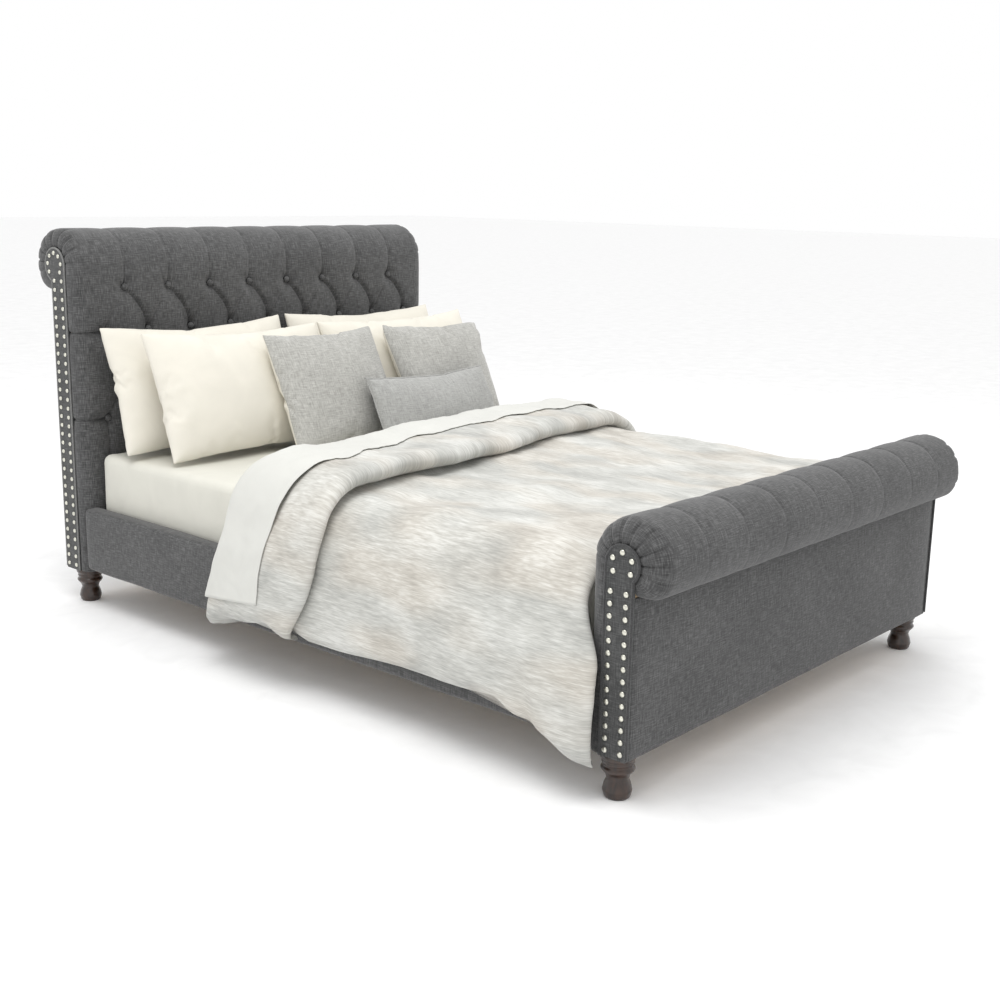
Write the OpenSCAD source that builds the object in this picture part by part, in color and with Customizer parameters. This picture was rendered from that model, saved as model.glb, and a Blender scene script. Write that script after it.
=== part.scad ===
// Upholstered sleigh bed, made up with its mattress and bedding.
// Millimetres. The origin is on the floor under the middle of the bed,
// +Z is up, +Y is the head end and +X is the right side seen from the foot.

/* [Mattress] */
// Width of the mattress
mattress_w = 1350; // [900:10:1800]
// Length of the mattress
mattress_l = 1900; // [1580:10:2280]
// Thickness of the mattress
mattress_t = 225; // [160:5:280]
// Gap between the mattress and the padded boards
end_gap = 22; // [16:1:40]
// Gap between the mattress and the side rails
side_gap = 10; // [6:1:25]

/* [Boards] */
// Height of the underside of both boards, which is the height of the legs
board_z = 104; // [80:1:140]
// Height of the centre of the headboard's scroll
head_centre_z = 1043; // [900:1:1300]
// Height of the centre of the footboard's scroll
foot_centre_z = 537; // [480:1:650]
// Radius of the headboard's padded roll
head_roll_r = 105; // [95:1:130]
// Radius of the footboard's padded roll
foot_roll_r = 96; // [92:1:120]
// Depth of the headboard's upright, front to back
head_core_t = 65; // [60:1:80]
// Depth of the footboard's upright, front to back
foot_core_t = 67; // [60:1:80]
// Thickness of the padding on the mattress side of both boards
board_pad = 47; // [40:1:60]
// How far the headboard's scroll swells past its upright on each side
head_swell = 16; // [12:1:18]
// How far the footboard's scroll swells past its upright on each side
foot_swell = 7; // [4:1:12]
// Thickness of the end panels
end_panel_t = 14; // [10:1:20]
// How far the roll's padding stays short of the end panels' outer face
roll_inset = 6; // [5:1:9]

/* [Side rails] */
// Height of the underside of the covered rails
rail_z = 118; // [100:1:150]
// Height of the covered rails, top to bottom
rail_h = 191; // [165:1:220]
// Thickness of the timber in the rails
rail_t = 27; // [20:1:35]
// Thickness of the padding outside the rails
rail_pad = 18; // [12:1:25]

/* [Slats] */
// Number of slats
slat_count = 11; // [9:1:11]
// Width of a slat
slat_w = 70; // [50:1:90]
// Thickness of a slat
slat_t = 18; // [14:1:24]
// Height of the top of the slats
slat_top_z = 246; // [236:1:270]

/* [Legs] */
// Largest radius of the turned legs
leg_r = 40; // [32:1:46]
// Travel of the levelling feet
foot_travel = 12; // [8:1:20]

/* [Trim] */
// Radius of a nail head
nail_r = 6; // [5:0.5:8]
// Distance from one nail to the next
nail_pitch = 27.4; // [24:0.2:36]
// Radius of a tufting button
button_r = 10; // [8:0.5:14]
// Depth of the pocket that a tufting button sits in
button_pocket = 10; // [9:1:24]
// Distance between buttons in a row
tuft_w = 159; // [120:1:165]
// Distance between rows of buttons
tuft_h = 132; // [110:1:140]

/* [Bedding] */
// Thickness of the duvet on top of the mattress
duvet_t = 52; // [40:1:80]
// Thickness of the duvet where it hangs at the sides
duvet_side_t = 28; // [20:1:40]
// Height of the duvet's hem above the floor
duvet_hem_z = 104; // [60:1:200]
// Distance from the headboard's padding to the duvet's head end
duvet_start = 665; // [640:5:800]
// Length and height of a sleeping pillow
pillow_size = [680, 400]; // [380:10:700]
// Thickness of a sleeping pillow
pillow_t = 130; // [100:5:140]
// Length and height of a square cushion
cushion_size = [455, 390]; // [380:5:460]
// Thickness of a square cushion
cushion_t = 100; // [80:5:105]
// Length and height of the lumbar cushion
lumbar_size = [520, 235]; // [220:5:560]
// Thickness of the lumbar cushion
lumbar_t = 80; // [60:5:85]

/* [Hidden] */
$fn = 96;

// Clearances
play = 0.5;
cloth_gap = 1;
// Small step where a flat face would otherwise end exactly on a curve
step = 0.3;

// Widths
rail_wrap = 5;
half_clear = mattress_w / 2 + side_gap;
rail_in_x = half_clear + rail_wrap;
rail_out_x = rail_in_x + rail_t;
half_w = rail_out_x + rail_pad;
core_half = half_w - end_panel_t;
roll_half = half_w - roll_inset;
post_w = 45;

// Lengths, from the scrolls inward
inner_l = mattress_l + 2 * end_gap;
overall_l = 2 * foot_roll_r + inner_l + 2 * head_roll_r;
foot_face_y = -overall_l / 2 + 2 * foot_roll_r;
head_face_y = foot_face_y + inner_l;

// Board layers, counted outward from the padded face
panel_t = 6;
cover_t = 4;
wrap_drop = 70;
lobe_r = 45;
lobe_hollow = 1.5;
lobe_lap = 5;

// Each board is [roll radius, upright depth, scroll centre height, scroll swell]
HEAD = [head_roll_r, head_core_t, head_centre_z, head_swell];
FOOT = [foot_roll_r, foot_core_t, foot_centre_z, foot_swell];
function roll_r(b) = b[0];
function core_t(b) = b[1];
function centre_z(b) = b[2];
function swell(b) = b[3];
function scroll_r(b) = core_t(b) / 2 + swell(b);
// The end panel's straight front edge runs on into its round top
function scroll_y(b) = board_pad + scroll_r(b);

// Side rails
rail_wrap_top = 8;
rail_timber_z = rail_z + rail_wrap;
rail_timber_h = rail_h - rail_wrap - rail_wrap_top;
ledge_t = 30;
ledge_w = 26;
slat_end_gap = 3;
slat_half = rail_in_x - rail_wrap - slat_end_gap;
ledge_top_z = slat_top_z - slat_t;
beam_w = 60;
beam_h = 40;
center_leg_w = 50;
center_leg_y = mattress_l / 4;
level_disc_r = 20;
level_disc_h = 8;
stem_r = 5;
stem_play = 0.6;
stem_l = 45;
level_gap = foot_travel + 2;

// Legs
leg_in_x = half_w - leg_r - 4;
leg_head_y = head_face_y + board_pad + 12;
leg_foot_y = foot_face_y - board_pad - core_t(FOOT) + leg_r + 8;
leg_bolt_r = 4;
leg_bolt_deep = 40;
leg_bolt_up = 30;

// Bedding heights
mattress_z = slat_top_z + play;
mattress_top = mattress_z + mattress_t;
sheet_t = 3;
sheet_drop = 200;
sheet_top = mattress_top + sheet_t;
corner_r = 60;
duvet_in_x = half_w + 4;
duvet_out_x = duvet_in_x + duvet_side_t;
duvet_z = sheet_top + cloth_gap;
duvet_top = duvet_z + duvet_t;
duvet_head_y = head_face_y - duvet_start;
duvet_foot_y = foot_face_y + 8;
duvet_corner_r = 26;
duvet_inner_r = 4;
band_w = 250;
band_t = 3;
band_gap = 1;
band_hem_z = 195;

// Pillows lean back: [lean angle, distance of the bottom edge from the headboard's padding]
REAR = [16, 180];
FRONT = [21, 350];
SQUARE = [25, 490];
LUMBAR = [24, 612];
pillow_edge = 16;
// Where each one's middle is across the bed
rear_x = 352;
front_left_x = -310;
front_right_x = 380;
cushion_left_x = -60;
cushion_right_x = 440;
lumbar_x = 242;
pillow_rest = 6;

// ---------- helpers ----------

// Places its children, drawn in a board's own section (y outward, z up), at the head or foot.
module at_board(head) {
    if (head) translate([0, head_face_y, 0]) children();
    else translate([0, foot_face_y, 0]) mirror([0, 1, 0]) children();
}

// Turns a 2D section (x = outward, y = up) into a solid from x0 to x1 across the bed.
module across(x0, x1) {
    translate([x0, 0, 0]) rotate([90, 0, 90]) linear_extrude(x1 - x0) children();
}

module both_sides() {
    children();
    mirror([1, 0, 0]) children();
}

// Upright with a round top, grown by g all round except at its foot.
module scroll_outline(b, g = 0) {
    translate([board_pad - g, board_z])
        square([core_t(b) + 2 * g, centre_z(b) - board_z]);
    translate([scroll_y(b), centre_z(b)]) circle(scroll_r(b) + g);
}

// Outside of the padded roll. Its underside comes back to the upright in a smaller lobe.
module roll_outline(b) {
    r = roll_r(b);
    a = asin((wrap_drop - lobe_r) / (r - lobe_r));
    lobe = [(r - lobe_r) * cos(a), -(r - lobe_r) * sin(a)];
    under_z = lobe_hollow - wrap_drop;
    far = 3 * r;
    cut = a - lobe_lap;
    translate([r, centre_z(b)]) {
        intersection() {
            circle(r);
            polygon([[0, 0], far * [cos(cut), -sin(cut)], [far, far], [-far, far], [-far, -far], [0, -far]]);
        }
        translate(lobe) circle(lobe_r);
        translate([0, under_z]) square([lobe[0], -under_z]);
    }
}

// Section of the foam and cover that run up the mattress side and round the roll.
module padding_section(b) {
    difference() {
        union() {
            translate([step, board_z]) square([board_pad, centre_z(b) - board_z]);
            roll_outline(b);
        }
        translate([board_pad, board_z - 1]) square([core_t(b), centre_z(b) - board_z + 1]);
        translate([scroll_y(b), centre_z(b)]) circle(scroll_r(b) + step);
    }
}

// Timber frame of a board: posts with round heads, and rails between them.
module board_frame(b) {
    y0 = board_pad + panel_t;
    depth = core_t(b) - panel_t - cover_t;
    rail_len = core_half - post_w;
    top_z = centre_z(b) - scroll_r(b);
    rail_high = 70;
    both_sides() across(core_half - post_w, core_half) {
        translate([y0, board_z]) square([depth, centre_z(b) - board_z]);
        translate([scroll_y(b), centre_z(b)]) circle(scroll_r(b));
    }
    across(-rail_len, rail_len) {
        translate([y0, board_z]) square([depth, rail_high]);
        translate([y0, (board_z + top_z - rail_high) / 2]) square([depth, rail_high]);
        translate([y0, top_z - rail_high]) square([depth, rail_high]);
    }
}

// Plywood sheet on the mattress side of the frame.
module board_panel(b) {
    across(-core_half, core_half)
        translate([board_pad, board_z])
            square([panel_t, centre_z(b) - scroll_r(b) - board_z]);
}

// Cardboard tube that the roll's padding is stretched over.
module roll_tube(b) {
    tube_wall = 6;
    across(-core_half + post_w, core_half - post_w)
        translate([scroll_y(b), centre_z(b)]) difference() {
            circle(scroll_r(b));
            circle(scroll_r(b) - tube_wall);
        }
}

// Flat covered face on the side away from the mattress.
module outside_cover(b) {
    across(-core_half, core_half)
        translate([board_pad + core_t(b) - cover_t, board_z])
            square([cover_t, centre_z(b) - wrap_drop - board_z]);
}

module end_panel(b) {
    across(half_w - end_panel_t, half_w) scroll_outline(b);
}

// Cord sewn round the edge of both end panels.
module welts(b) {
    welt_r = 3;
    both_sides() across(half_w - 2 * welt_r + 1, half_w + 1) difference() {
        scroll_outline(b, welt_r);
        scroll_outline(b);
    }
}

module nail() {
    rise = nail_r * 0.6;
    ball = (nail_r * nail_r + rise * rise) / (2 * rise);
    rotate([0, 90, 0]) intersection() {
        translate([0, 0, rise - ball]) sphere(ball, $fn = 32);
        cylinder(h = rise, r = nail_r, $fn = 32);
    }
}

// Nails in two columns that meet round the scroll.
module nails(b) {
    inset = 13;
    start_z = board_z + 16;
    ring_r = scroll_r(b) - inset;
    arc_from = -35;
    arc_to = 215;
    neck_z = centre_z(b) + ring_r * sin(arc_from) - nail_pitch * 0.7;
    per_side = floor((neck_z - start_z) / nail_pitch);
    arc_steps = round(PI * ring_r * (arc_to - arc_from) / 180 / nail_pitch);
    both_sides() translate([half_w, 0, 0]) {
        for (i = [0 : per_side], y = [board_pad + inset, board_pad + core_t(b) - inset])
            translate([0, y, start_z + i * nail_pitch]) nail();
        for (i = [0 : arc_steps])
            let (a = arc_from + i * (arc_to - arc_from) / arc_steps)
                translate([0, scroll_y(b) + ring_r * cos(a), centre_z(b) + ring_r * sin(a)]) nail();
    }
}

// Button places on the headboard: rows of 8, 9, 8 and 9 in a diamond.
function tufts() = [
    for (row = [0 : 3], i = [0 : 7 + row % 2])
        [tuft_w * (i - (7 + row % 2) / 2), head_centre_z - 66 - row * tuft_h]
];

module at_tufts() {
    for (p = tufts())
        translate([p[0], head_face_y, p[1]]) rotate([-90, 0, 0]) children();
}

// Turned leg: foot, waist and two rings under a flat top.
module leg_profile() {
    stations = [[0, 0.74], [0.16, 0.84], [0.42, 0.63], [0.62, 0.92], [0.70, 0.96],
        [0.76, 0.86], [0.82, 0.90], [0.90, 1], [1, 1]];
    steps = 5;
    polygon(concat(
        [[0, 0]],
        [for (k = [0 : len(stations) - 2], i = [0 : steps - 1])
            let (p = stations[k], q = stations[k + 1], t = i / steps, e = (1 - cos(180 * t)) / 2)
                [leg_r * (p[1] + (q[1] - p[1]) * e), board_z * (p[0] + (q[0] - p[0]) * t)]],
        [[leg_r, board_z], [0, board_z]]
    ));
}

module leg(x, y) {
    color([0.17, 0.10, 0.08]) translate([x, y, 0]) difference() {
        rotate_extrude() leg_profile();
        translate([0, 0, board_z - leg_bolt_deep]) cylinder(h = leg_bolt_deep + 1, r = leg_bolt_r);
    }
}

// Cushion standing on its long edge and leaning back. Two crossed lenses give the crown.
module leaning_cushion(size, t, place, x) {
    w = size[0];
    h = size[1];
    rise = (t - pillow_edge) / 2;
    bend_w = (w * w / 4 + rise * rise) / (2 * rise);
    bend_h = (h * h / 4 + rise * rise) / (2 * rise);
    lift = sheet_top + pillow_rest + pillow_edge / 2 * sin(place[0]);
    translate([x, head_face_y - place[1], lift]) rotate([-place[0], 0, 0]) intersection() {
        translate([-w / 2, -t, 0]) cube([w, 2 * t, h]);
        intersection_for (s = [-1, 1]) translate([0, s * (bend_h - t / 2), h / 2])
            rotate([0, 90, 0]) cylinder(h = w + 2, r = bend_h, center = true, $fn = 180);
        intersection_for (s = [-1, 1]) translate([0, s * (bend_w - t / 2 - step), -1])
            cylinder(h = h + 2, r = bend_w, $fn = 180);
    }
}

// Rounded rectangle, centred in x and running from y0 to y1.
module rounded_rect(half, y0, y1, r) {
    translate([-half + r, y0]) square([2 * (half - r), y1 - y0]);
    translate([-half, y0 + r]) square([2 * half, y1 - y0 - 2 * r]);
    for (x = [-half + r, half - r], y = [y0 + r, y1 - r]) translate([x, y]) circle(r);
}

// Upright slab with round top corners, as wide as the bed's bedding.
module arch(half, top, hem, r) {
    translate([-half, hem]) square([2 * half, top - r - hem]);
    translate([-half + r, hem]) square([2 * (half - r), top - hem]);
    for (x = [-half + r, half - r]) translate([x, top - r]) circle(r);
}

module drape(y0, y1) {
    translate([0, y1, 0]) rotate([90, 0, 0]) linear_extrude(y1 - y0) children();
}

// ---------- headboard ----------

module headboard_frame() {
    color("burlywood") difference() {
        at_board(true) board_frame(HEAD);
        leg_bolt_holes();
    }
}

module headboard_panel() {
    color("tan") at_board(true) board_panel(HEAD);
}

module headboard_roll_tube() {
    color("peru") at_board(true) roll_tube(HEAD);
}

module headboard_padding() {
    color([0.29, 0.30, 0.31]) difference() {
        at_board(true) across(-roll_half, roll_half) padding_section(HEAD);
        at_tufts() translate([0, 0, -1]) cylinder(h = button_pocket + 1, r = button_r + 3, $fn = 32);
    }
}

module headboard_back_cover() {
    color([0.27, 0.28, 0.29]) at_board(true) outside_cover(HEAD);
}

module headboard_end_panel_left() {
    color([0.25, 0.26, 0.25]) at_board(true) mirror([1, 0, 0]) end_panel(HEAD);
}

module headboard_end_panel_right() {
    color([0.25, 0.26, 0.25]) at_board(true) end_panel(HEAD);
}

module headboard_welts() {
    color([0.20, 0.20, 0.20]) at_board(true) welts(HEAD);
}

module headboard_nails() {
    color("silver") at_board(true) nails(HEAD);
}

module headboard_buttons() {
    thick = 7;
    color([0.29, 0.30, 0.31]) at_tufts() translate([0, 0, button_pocket - thick])
        cylinder(h = thick, r = button_r, $fn = 32);
}

// ---------- footboard ----------

module footboard_frame() {
    color("burlywood") difference() {
        at_board(false) board_frame(FOOT);
        leg_bolt_holes();
    }
}

module footboard_panel() {
    color("tan") at_board(false) board_panel(FOOT);
}

module footboard_roll_tube() {
    color("peru") at_board(false) roll_tube(FOOT);
}

module footboard_padding() {
    color([0.29, 0.30, 0.31]) at_board(false) across(-roll_half, roll_half) padding_section(FOOT);
}

module footboard_outer_cover() {
    color([0.27, 0.28, 0.29]) at_board(false) outside_cover(FOOT);
}

module footboard_end_panel_left() {
    color([0.25, 0.26, 0.25]) at_board(false) mirror([1, 0, 0]) end_panel(FOOT);
}

module footboard_end_panel_right() {
    color([0.25, 0.26, 0.25]) at_board(false) end_panel(FOOT);
}

module footboard_welts() {
    color([0.16, 0.16, 0.16]) at_board(false) welts(FOOT);
}

module footboard_nails() {
    color("silver") at_board(false) nails(FOOT);
}

// ---------- rails, slats and legs ----------

module side_rail() {
    translate([rail_in_x, foot_face_y, rail_timber_z])
        cube([rail_t, inner_l, rail_timber_h]);
}

module rail_cover() {
    translate([0, head_face_y, 0]) rotate([90, 0, 0]) linear_extrude(inner_l) difference() {
        translate([rail_in_x - rail_wrap, rail_z]) square([rail_wrap + rail_t + rail_pad, rail_h]);
        translate([rail_in_x, rail_timber_z]) square([rail_t, rail_timber_h]);
    }
}

module slat_ledge() {
    translate([half_clear - ledge_w, foot_face_y + end_gap, ledge_top_z - ledge_t])
        cube([ledge_w, inner_l - 2 * end_gap, ledge_t]);
}

module side_rail_left() {
    color("burlywood") mirror([1, 0, 0]) side_rail();
}

module side_rail_right() {
    color("burlywood") side_rail();
}

module rail_cover_left() {
    color([0.29, 0.30, 0.31]) mirror([1, 0, 0]) rail_cover();
}

module rail_cover_right() {
    color([0.29, 0.30, 0.31]) rail_cover();
}

module slat_ledge_left() {
    color("wheat") mirror([1, 0, 0]) slat_ledge();
}

module slat_ledge_right() {
    color("wheat") slat_ledge();
}

// Steel angles that hold the rails and the centre beam to the boards.
module corner_brackets() {
    plate_t = 3;
    arm = 16;
    high = 60;
    z0 = rail_z + 15;
    color("silver") for (end = [0, 1]) translate([0, end * (foot_face_y + head_face_y), 0]) mirror([0, end, 0]) {
        both_sides() translate([half_clear, foot_face_y, z0]) {
            translate([-plate_t, 0, 0]) cube([plate_t, arm, high]);
            translate([-arm, 0, 0]) cube([arm, plate_t, high]);
        }
        both_sides() translate([beam_w / 2, foot_face_y, ledge_top_z - beam_h]) {
            cube([plate_t, arm, beam_h - 2]);
            cube([arm, plate_t, beam_h - 2]);
        }
    }
}

module leg_bolt_holes() {
    for (x = [-leg_in_x, leg_in_x], y = [leg_head_y, leg_foot_y])
        translate([x, y, board_z - 1]) cylinder(h = leg_bolt_up + 2, r = leg_bolt_r);
}

module leg_bolts() {
    color("silver") for (x = [-leg_in_x, leg_in_x], y = [leg_head_y, leg_foot_y])
        translate([x, y, board_z - leg_bolt_deep])
            cylinder(h = leg_bolt_deep + leg_bolt_up, r = leg_bolt_r);
}

module center_beam() {
    color("burlywood") translate([-beam_w / 2, foot_face_y, ledge_top_z - beam_h])
        cube([beam_w, inner_l, beam_h]);
}

module center_leg(y) {
    top = ledge_top_z - beam_h;
    base = level_disc_h + level_gap;
    color("burlywood") difference() {
        translate([-center_leg_w / 2, y - center_leg_w / 2, base])
            cube([center_leg_w, center_leg_w, top - base]);
        translate([0, y, base - 1]) cylinder(h = stem_l + 3, r = stem_r + stem_play);
    }
}

module center_leg_head() {
    center_leg(center_leg_y);
}

module center_leg_foot() {
    center_leg(-center_leg_y);
}

module levelling_foot(y) {
    color("dimgray") translate([0, y, 0]) {
        cylinder(h = level_disc_h, r = level_disc_r);
        cylinder(h = level_disc_h + level_gap + stem_l - foot_travel, r = stem_r);
    }
}

module levelling_foot_head() {
    levelling_foot(center_leg_y);
}

module levelling_foot_foot() {
    levelling_foot(-center_leg_y);
}

module leg_head_left() {
    leg(-leg_in_x, leg_head_y);
}

module leg_head_right() {
    leg(leg_in_x, leg_head_y);
}

module leg_foot_left() {
    leg(-leg_in_x, leg_foot_y);
}

module leg_foot_right() {
    leg(leg_in_x, leg_foot_y);
}

// Slats are counted from the foot end.
module slat(i) {
    first = foot_face_y + end_gap + 5;
    last = head_face_y - end_gap - 5 - slat_w;
    if (i <= slat_count)
        color("wheat") translate([-slat_half, first + (i - 1) * (last - first) / (slat_count - 1), ledge_top_z])
            cube([2 * slat_half, slat_w, slat_t]);
}

// ---------- mattress and bedding ----------

module mattress() {
    color("white") translate([0, 0, mattress_z]) linear_extrude(mattress_t)
        rounded_rect(mattress_w / 2, foot_face_y + end_gap, head_face_y - end_gap, corner_r);
}

module fitted_sheet() {
    color("ivory") difference() {
        translate([0, 0, sheet_top - sheet_drop]) linear_extrude(sheet_drop)
            rounded_rect(mattress_w / 2 + sheet_t, foot_face_y + end_gap - sheet_t,
                head_face_y - end_gap + sheet_t, corner_r + sheet_t);
        translate([0, 0, sheet_top - sheet_drop - 1]) linear_extrude(sheet_drop - sheet_t + 1)
            rounded_rect(mattress_w / 2, foot_face_y + end_gap, head_face_y - end_gap, corner_r);
    }
}

module duvet() {
    color([0.83, 0.82, 0.79]) drape(duvet_foot_y, duvet_head_y)
        difference() {
            arch(duvet_out_x, duvet_top, duvet_hem_z, duvet_corner_r);
            arch(duvet_in_x, duvet_z, duvet_hem_z - 1, duvet_inner_r);
        }
}

// Top sheet where it folds back over the duvet.
module flat_sheet() {
    color("snow") drape(duvet_head_y - band_w, duvet_head_y)
        difference() {
            arch(duvet_out_x + band_gap + band_t, duvet_top + band_gap + band_t, band_hem_z,
                duvet_corner_r + band_t);
            arch(duvet_out_x + band_gap, duvet_top + band_gap, band_hem_z - 1, duvet_corner_r);
        }
}

module pillow_left_rear() {
    color("cornsilk") leaning_cushion(pillow_size, pillow_t, REAR, -rear_x);
}

module pillow_left_front() {
    color("cornsilk") leaning_cushion(pillow_size, pillow_t, FRONT, front_left_x);
}

module pillow_right_rear() {
    color("cornsilk") leaning_cushion(pillow_size, pillow_t, REAR, rear_x);
}

module pillow_right_front() {
    color("cornsilk") leaning_cushion(pillow_size, pillow_t, FRONT, front_right_x);
}

module cushion_left() {
    color([0.55, 0.55, 0.54]) leaning_cushion(cushion_size, cushion_t, SQUARE, cushion_left_x);
}

module cushion_right() {
    color([0.55, 0.55, 0.54]) leaning_cushion(cushion_size, cushion_t, SQUARE, cushion_right_x);
}

module lumbar_cushion() {
    color([0.57, 0.57, 0.57]) leaning_cushion(lumbar_size, lumbar_t, LUMBAR, lumbar_x);
}

// ---------- nodes ----------

headboard_frame();
headboard_panel();
headboard_roll_tube();
headboard_padding();
headboard_back_cover();
headboard_end_panel_left();
headboard_end_panel_right();
headboard_welts();
headboard_nails();
headboard_buttons();
footboard_frame();
footboard_panel();
footboard_roll_tube();
footboard_padding();
footboard_outer_cover();
footboard_end_panel_left();
footboard_end_panel_right();
footboard_welts();
footboard_nails();
side_rail_left();
side_rail_right();
rail_cover_left();
rail_cover_right();
slat_ledge_left();
slat_ledge_right();
corner_brackets();
leg_bolts();
center_beam();
center_leg_head();
center_leg_foot();
levelling_foot_head();
levelling_foot_foot();
leg_head_left();
leg_head_right();
leg_foot_left();
leg_foot_right();
slat(1);  // slat_1
slat(2);  // slat_2
slat(3);  // slat_3
slat(4);  // slat_4
slat(5);  // slat_5
slat(6);  // slat_6
slat(7);  // slat_7
slat(8);  // slat_8
slat(9);  // slat_9
slat(10);  // slat_10
slat(11);  // slat_11
mattress();
fitted_sheet();
flat_sheet();
duvet();
pillow_left_rear();
pillow_left_front();
pillow_right_rear();
pillow_right_front();
cushion_left();
cushion_right();
lumbar_cushion();
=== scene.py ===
# %% [markdown]
# # An upholstered sleigh bed, made up with its bedding
# The bed's timber, joints and sizes come from a CAD model that is already
# packed. This lesson dresses that model: it keeps every measured part where
# it is and adds what the hand and the eye notice, such as buttoned linen,
# nail heads, turned legs, a puffy duvet and leaning pillows.
# All lengths are metres, +Z is up and +Y points to the head of the bed.

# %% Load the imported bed
import bmesh
import bpy
import math
import numpy as np
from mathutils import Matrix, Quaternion, Vector, noise


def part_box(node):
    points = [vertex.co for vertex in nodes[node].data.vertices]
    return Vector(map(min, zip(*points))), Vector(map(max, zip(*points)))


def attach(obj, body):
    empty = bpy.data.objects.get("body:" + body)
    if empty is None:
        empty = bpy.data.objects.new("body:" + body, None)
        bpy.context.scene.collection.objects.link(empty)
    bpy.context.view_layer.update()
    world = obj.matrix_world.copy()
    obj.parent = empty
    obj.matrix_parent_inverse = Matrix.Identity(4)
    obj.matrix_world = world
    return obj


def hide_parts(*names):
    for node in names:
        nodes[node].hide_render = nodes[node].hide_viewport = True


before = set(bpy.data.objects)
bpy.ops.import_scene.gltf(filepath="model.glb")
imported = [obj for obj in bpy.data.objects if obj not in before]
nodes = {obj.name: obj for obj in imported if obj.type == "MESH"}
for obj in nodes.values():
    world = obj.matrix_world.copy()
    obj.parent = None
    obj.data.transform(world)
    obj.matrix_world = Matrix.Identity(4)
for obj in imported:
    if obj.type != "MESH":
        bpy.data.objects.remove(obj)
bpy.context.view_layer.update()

# %% [markdown]
# ## Meshes from grids of points
# Cloth over foam is a smooth surface with a few sharp folds, so most pieces
# here are a grid of points that a formula bends. One helper turns a grid into
# faces and another makes the object, gives it cloth coordinates in metres and
# hangs it on the body it moves with. Faces are smooth shaded.

# %% Helpers for grids and pieces
def grid_faces(rows, cols, wrap=False):
    """Four-sided faces of a grid whose points are numbered row by row."""
    r, c = np.meshgrid(np.arange(rows - 1), np.arange(cols if wrap else cols - 1), indexing="ij")
    after = (c + 1) % cols
    corners = (r * cols + c, r * cols + after, (r + 1) * cols + after, (r + 1) * cols + c)
    return np.stack(corners, -1).reshape(-1, 4).tolist()


def mesh_object(name, points, faces):
    mesh = bpy.data.meshes.new(name)
    mesh.from_pydata(np.asarray(points, float).reshape(-1, 3).tolist(), [], faces)
    mesh.validate()
    made = bpy.data.objects.new(name, mesh)
    bpy.context.scene.collection.objects.link(made)
    face_outward(made)
    mesh.shade_smooth()
    return made


def face_outward(made):
    shape = bmesh.new()
    shape.from_mesh(made.data)
    bmesh.ops.recalc_face_normals(shape, faces=shape.faces)
    shape.to_mesh(made.data)
    shape.free()


def points_of(made):
    co = np.empty(len(made.data.vertices) * 3)
    made.data.vertices.foreach_get("co", co)
    return co.reshape(-1, 3)


def set_points(made, co):
    made.data.vertices.foreach_set("co", np.asarray(co).ravel())
    made.data.update()


def lay_cloth(made, flat=None):
    """Cloth coordinates in metres: given per point, or seen square-on to each face."""
    mesh = made.data
    corner = np.empty(len(mesh.loops), int)
    mesh.loops.foreach_get("vertex_index", corner)
    if flat is None:
        normal = np.empty(len(mesh.polygons) * 3)
        mesh.polygons.foreach_get("normal", normal)
        sides = np.empty(len(mesh.polygons), int)
        mesh.polygons.foreach_get("loop_total", sides)
        axis = np.abs(normal.reshape(-1, 3)).argmax(1).repeat(sides)
        across = np.array([[1, 2], [0, 2], [0, 1]])[axis]
        co = points_of(made)[corner]
        flat_at = np.take_along_axis(co, across, 1)
    else:
        flat_at = np.asarray(flat, float).reshape(-1, 2)[corner]
    layer = mesh.uv_layers.new(name="cloth")
    layer.data.foreach_set("uv", flat_at.astype(np.float32).ravel())


def dress(made, body, finish, stands_for=(), flat=None):
    """Gives a piece its finish and hangs it on its body."""
    if not made.data.uv_layers:
        lay_cloth(made, flat)
    made.data.materials.clear()
    made.data.materials.append(finish)
    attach(made, body)
    if stands_for:
        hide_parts(*stands_for)
    print(f"{made.name}: {len(made.data.polygons)} faces")
    return made


def ease(low, high, x):
    """0 below low, 1 above high and a smooth step between."""
    t = np.clip((np.asarray(x, float) - low) / (high - low), 0, 1)
    return t * t * (3 - 2 * t)


def ripple(points, size, seed):
    """Smooth noise, about -0.5 to 0.5, with bumps of the given size."""
    shift = Vector((seed * 7.3, seed * 3.1, seed * 5.7))
    return np.array([noise.noise(Vector(p) / size + shift) for p in np.asarray(points).reshape(-1, 3)])

# %% [markdown]
# ## Camera, floor and light
# The bed is seen from standing height with a normal lens, past one corner of
# the foot end. The room is a white floor, a white sky and large soft lamps,
# so that shadows are faint and the cloth keeps its own colour.

# %% Camera
camera = bpy.data.objects.new("camera", bpy.data.cameras.new("camera"))
bpy.context.scene.collection.objects.link(camera)
camera_turn, camera_dip, camera_roll = (math.radians(a) for a in (48.83, 12.99, 1.08))
ahead = Vector((math.sin(camera_turn) * math.cos(camera_dip),
                math.cos(camera_turn) * math.cos(camera_dip), -math.sin(camera_dip)))
camera.location = (-2.943, -2.660, 1.296)
camera.rotation_mode = "QUATERNION"
camera.rotation_quaternion = Quaternion(ahead, -camera_roll) @ ahead.to_track_quat("-Z", "Y")
camera.data.sensor_width = 36
camera.data.lens = 48.9
bpy.context.scene.camera = camera
print("the camera looks along", [round(v, 2) for v in ahead])

# %% Floor, sky and lamps
floor_half = 40.0
floor_corners = [(x * floor_half, y * floor_half, 0) for x, y in ((-1, -1), (1, -1), (1, 1), (-1, 1))]
floor = mesh_object("floor", floor_corners, [[0, 1, 2, 3]])
sky = bpy.data.worlds.new("white_room")
sky.use_nodes = True
sky.node_tree.nodes["Background"].inputs["Color"].default_value = (1, 1, 1, 1)
sky.node_tree.nodes["Background"].inputs["Strength"].default_value = 1.0
bpy.context.scene.world = sky
bpy.context.scene.view_settings.view_transform = "Standard"


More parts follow.
